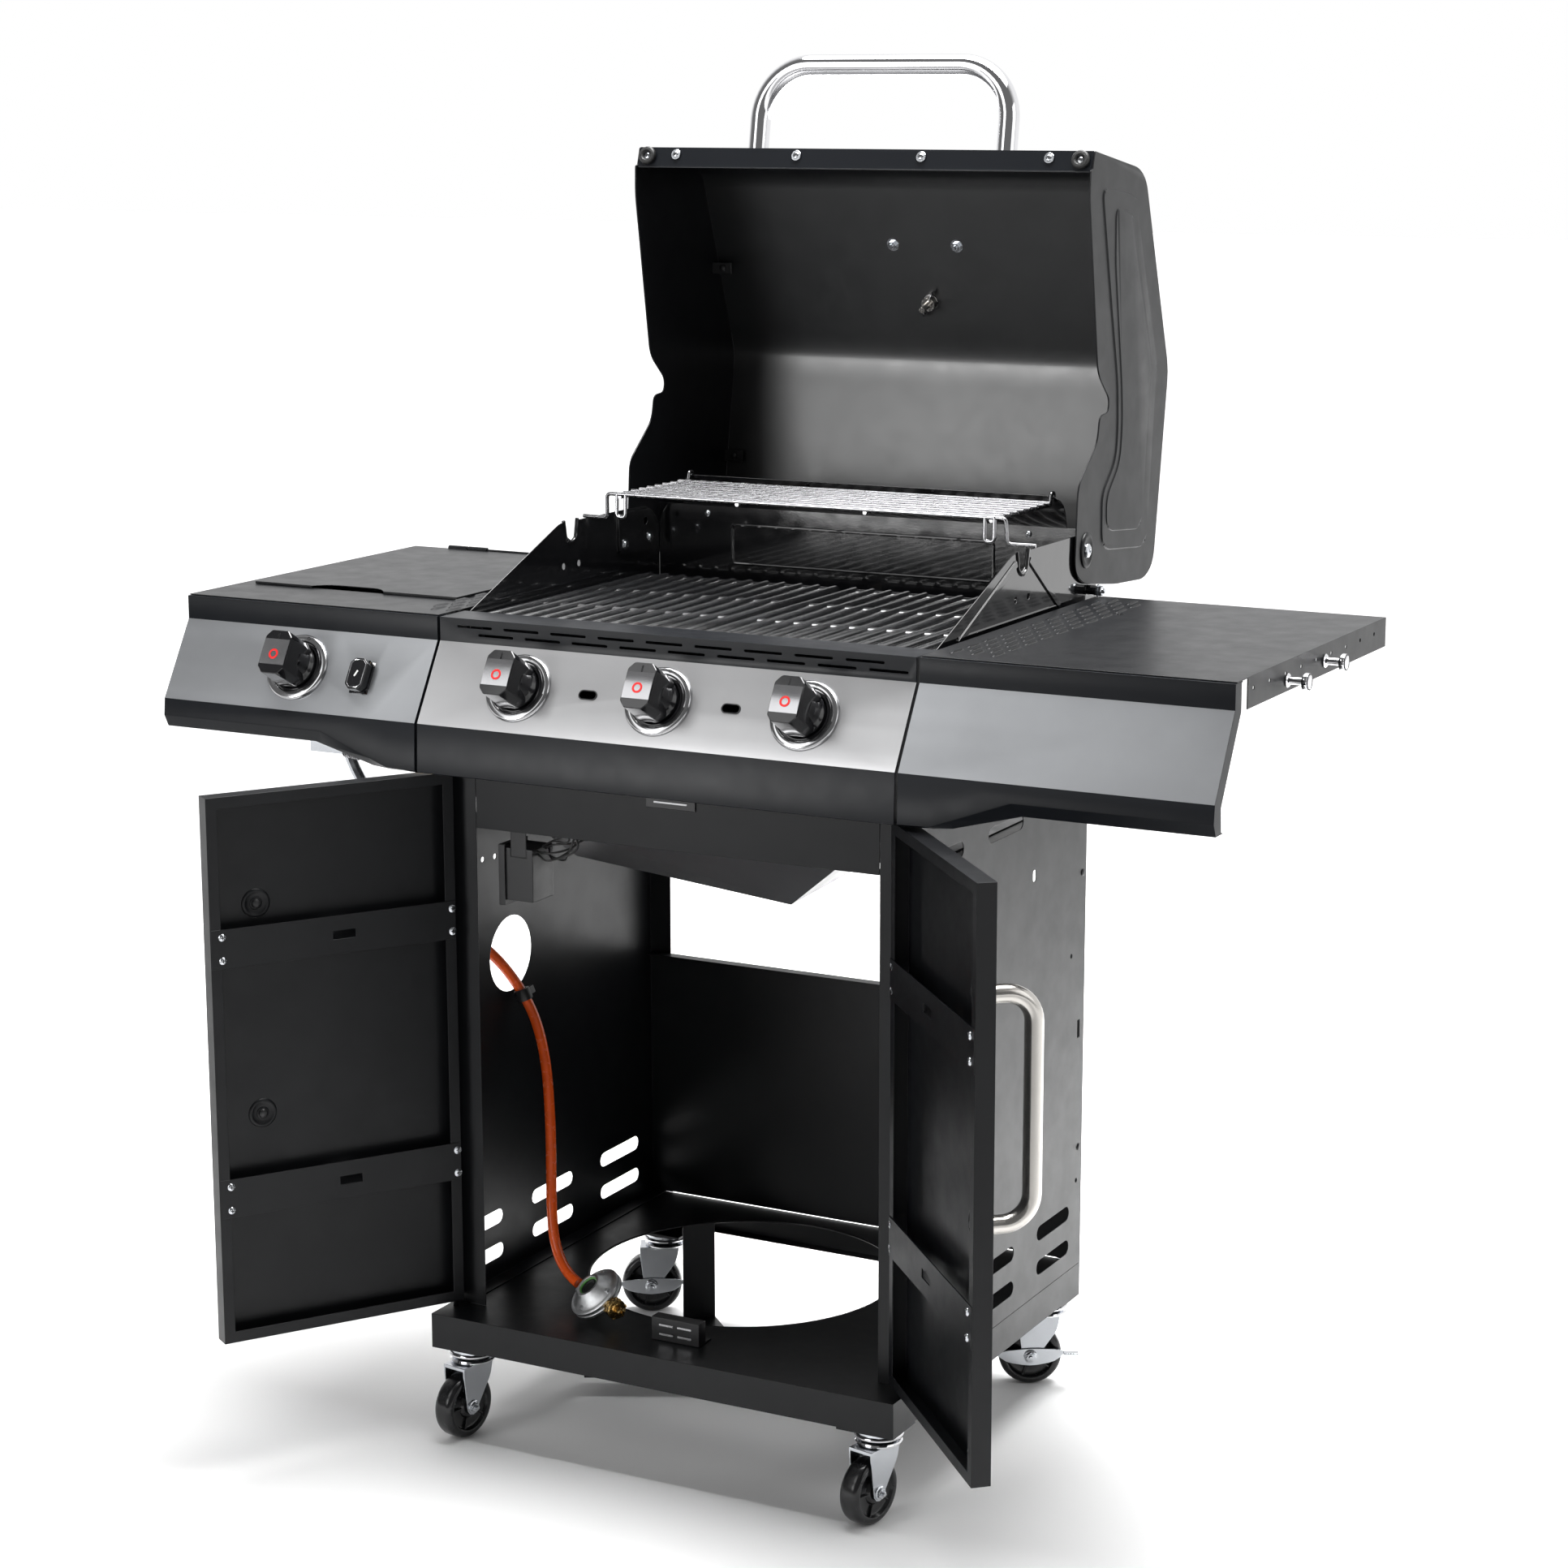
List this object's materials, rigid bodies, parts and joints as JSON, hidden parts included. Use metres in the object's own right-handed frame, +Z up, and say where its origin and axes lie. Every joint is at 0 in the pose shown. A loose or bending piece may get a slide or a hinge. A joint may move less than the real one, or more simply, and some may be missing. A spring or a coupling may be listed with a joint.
{
  "type": "gas barbecue grill",
  "caption": "Cabinet gas barbecue cart with tilting lid, side burner and side shelf, double doors, swivel casters, grates, warming rack and hose with regulator.",
  "frame": {"origin": "centre of the whole standing footprint (open doors, open lid and tool pegs included) on the floor", "axes": "+X to the cook's right along the console, +Y from the front to the back, +Z up"},
  "size_m": [1.335, 0.9556, 1.5908],
  "materials": {
    "powder_black": "satin black powder coat, very fine orange peel",
    "graphite_paint": "satin graphite metallic paint",
    "silver_paint": "satin silver face with a graphite band above and below",
    "porcelain_black": "gloss black porcelain enamel",
    "enamelled_iron": "semi-gloss black enamelled cast iron",
    "emitter_steel": "heat-dulled stainless sheet",
    "stainless": "brushed stainless steel",
    "chrome": "bright chrome plate",
    "zinc_plate": "bright zinc plated pressed steel",
    "steel_wire": "plated wire",
    "aluminium_cast": "fine sand-cast aluminium",
    "brass": "machined brass, slightly dulled",
    "knob_plastic": "gloss black moulded plastic with a satin metal grip face",
    "black_plastic": "matt black moulded plastic",
    "wheel_plastic": "hard black moulded wheel",
    "hose_rubber": "orange low-pressure gas hose"
  },
  "bodies": {
    "cart": {"base_shelf": "powder_black", "side_panel_left": "powder_black", "side_panel_right": "powder_black", "header_beam": "powder_black", "rear_panel": "powder_black", "bottle_cradle": "powder_black", "shelf_left": "powder_black", "shelf_right": "powder_black", "console_left": "graphite_paint", "console_right": "graphite_paint", "console_center": "silver_paint", "lower_door_catch": "black_plastic", "ignition_module": "black_plastic", "gas_manifold": "zinc_plate", "firebox_wall_left": "porcelain_black", "firebox_wall_right": "porcelain_black", "firebox_trough": "porcelain_black", "emitter_left": "emitter_steel", "emitter_right": "emitter_steel", "burner_left": "stainless", "burner_middle": "stainless", "burner_right": "stainless", "grate_left": "enamelled_iron", "grate_right": "enamelled_iron", "side_burner_grate": "enamelled_iron", "warming_rack": "steel_wire", "side_burner_head": "brass", "gas_hose": "hose_rubber", "regulator": "aluminium_cast"},
    "lid": {"lid_skin": "powder_black", "lid_cap_left": "powder_black", "lid_cap_right": "powder_black", "lid_front_strip": "graphite_paint", "lid_handle": "chrome", "lid_thermometer": "stainless"},
    "left_door": {"door_left": "powder_black", "door_handle_left": "stainless"},
    "right_door": {"door_right": "powder_black", "door_handle_right": "stainless"},
    "side_stem": {"valve_stem_side": "zinc_plate"},
    "side_knob": {"knob_side": "knob_plastic"},
    "left_stem": {"valve_stem_left": "zinc_plate"},
    "left_knob": {"knob_left": "knob_plastic"},
    "middle_stem": {"valve_stem_middle": "zinc_plate"},
    "middle_knob": {"knob_middle": "knob_plastic"},
    "right_stem": {"valve_stem_right": "zinc_plate"},
    "right_knob": {"knob_right": "knob_plastic"},
    "igniter": {"igniter_button": "black_plastic"},
    "burner_cover": {"side_burner_lid": "powder_black"},
    "tray": {"grease_tray": "powder_black"},
    "front_left_swivel": {"caster_fork_front_left": "zinc_plate"},
    "front_left_wheel": {"caster_wheel_front_left": "wheel_plastic"},
    "front_right_swivel": {"caster_fork_front_right": "zinc_plate"},
    "front_right_wheel": {"caster_wheel_front_right": "wheel_plastic"},
    "rear_left_swivel": {"caster_fork_rear_left": "zinc_plate"},
    "rear_left_wheel": {"caster_wheel_rear_left": "wheel_plastic"},
    "rear_left_brake": {"caster_brake_rear_left": "zinc_plate"},
    "rear_right_swivel": {"caster_fork_rear_right": "zinc_plate"},
    "rear_right_wheel": {"caster_wheel_rear_right": "wheel_plastic"},
    "rear_right_brake": {"caster_brake_rear_right": "zinc_plate"}
  },
  "joints": [
    {"name": "lid_hinge", "type": "hinge", "parent": "cart", "child": "lid", "pos_m": [-0.0125, 0.2327, 1.025], "axis": [1, 0, 0], "range_deg": [0, 97]},
    {"name": "left_door_hinge", "type": "hinge", "parent": "cart", "child": "left_door", "pos_m": [-0.303, -0.2298, 0.475], "axis": [0, 0, 1], "range_deg": [-9.8, 122.9]},
    {"name": "right_door_hinge", "type": "hinge", "parent": "cart", "child": "right_door", "pos_m": [0.278, -0.2298, 0.475], "axis": [0, 0, 1], "range_deg": [-132.7, 0]},
    {"name": "side_valve_turn", "type": "hinge", "parent": "cart", "child": "side_stem", "pos_m": [-0.4935, -0.24178, 0.8975], "axis": [0, -0.864, 0.5035], "range_deg": [0, 225]},
    {"name": "side_knob_push", "type": "slide", "parent": "side_stem", "child": "side_knob", "axis": [0, 0.864, -0.5035], "range_m": [0, 0.004], "stiffness_N_per_m": 500, "springref_m": -0.004},
    {"name": "left_valve_turn", "type": "hinge", "parent": "cart", "child": "left_stem", "pos_m": [-0.1925, -0.24178, 0.8975], "axis": [0, -0.864, 0.5035], "range_deg": [0, 225]},
    {"name": "left_knob_push", "type": "slide", "parent": "left_stem", "child": "left_knob", "axis": [0, 0.864, -0.5035], "range_m": [0, 0.004], "stiffness_N_per_m": 500, "springref_m": -0.004},
    {"name": "middle_valve_turn", "type": "hinge", "parent": "cart", "child": "middle_stem", "pos_m": [-0.0125, -0.24178, 0.8975], "axis": [0, -0.864, 0.5035], "range_deg": [0, 225]},
    {"name": "middle_knob_push", "type": "slide", "parent": "middle_stem", "child": "middle_knob", "axis": [0, 0.864, -0.5035], "range_m": [0, 0.004], "stiffness_N_per_m": 500, "springref_m": -0.004},
    {"name": "right_valve_turn", "type": "hinge", "parent": "cart", "child": "right_stem", "pos_m": [0.1675, -0.24178, 0.8975], "axis": [0, -0.864, 0.5035], "range_deg": [0, 225]},
    {"name": "right_knob_push", "type": "slide", "parent": "right_stem", "child": "right_knob", "axis": [0, 0.864, -0.5035], "range_m": [0, 0.004], "stiffness_N_per_m": 500, "springref_m": -0.004},
    {"name": "igniter_push", "type": "slide", "parent": "cart", "child": "igniter", "axis": [0, 0.864, -0.5035], "range_m": [0, 0.004], "stiffness_N_per_m": 400, "springref_m": -0.003},
    {"name": "burner_cover_hinge", "type": "hinge", "parent": "cart", "child": "burner_cover", "pos_m": [-0.502, 0.2387, 0.9724], "axis": [1, 0, 0], "range_deg": [-95, 0]},
    {"name": "tray_slide", "type": "slide", "parent": "cart", "child": "tray", "axis": [0, 1, 0], "range_m": [0, 0.3]},
    {"name": "front_left_swivel", "type": "hinge", "parent": "cart", "child": "front_left_swivel", "pos_m": [-0.279, -0.2323, 0.096], "axis": [0, 0, 1], "continuous": true},
    {"name": "front_left_roll", "type": "hinge", "parent": "front_left_swivel", "child": "front_left_wheel", "pos_m": [-0.28182, -0.25008, 0.0385], "axis": [0.9877, -0.1564, 0], "continuous": true},
    {"name": "front_right_swivel", "type": "hinge", "parent": "cart", "child": "front_right_swivel", "pos_m": [0.254, -0.2323, 0.096], "axis": [0, 0, 1], "continuous": true},
    {"name": "front_right_roll", "type": "hinge", "parent": "front_right_swivel", "child": "front_right_wheel", "pos_m": [0.25026, -0.24991, 0.0385], "axis": [0.9781, -0.2079, 0], "continuous": true},
    {"name": "rear_left_swivel", "type": "hinge", "parent": "cart", "child": "rear_left_swivel", "pos_m": [-0.279, 0.2227, 0.096], "axis": [0, 0, 1], "continuous": true},
    {"name": "rear_left_roll", "type": "hinge", "parent": "rear_left_swivel", "child": "rear_left_wheel", "pos_m": [-0.29489, 0.21425, 0.0385], "axis": [0.4695, -0.8829, 0], "continuous": true},
    {"name": "rear_left_brake", "type": "hinge", "parent": "rear_left_swivel", "child": "rear_left_brake", "pos_m": [-0.29489, 0.21425, 0.0385], "axis": [0.4695, -0.8829, 0], "range_deg": [-18, 0]},
    {"name": "rear_right_swivel", "type": "hinge", "parent": "cart", "child": "rear_right_swivel", "pos_m": [0.254, 0.2227, 0.096], "axis": [0, 0, 1], "continuous": true},
    {"name": "rear_right_roll", "type": "hinge", "parent": "rear_right_swivel", "child": "rear_right_wheel", "pos_m": [0.23811, 0.21425, 0.0385], "axis": [0.4695, -0.8829, 0], "continuous": true},
    {"name": "rear_right_brake", "type": "hinge", "parent": "rear_right_swivel", "child": "rear_right_brake", "pos_m": [0.23811, 0.21425, 0.0385], "axis": [0.4695, -0.8829, 0], "range_deg": [-18, 0]}
  ]
}
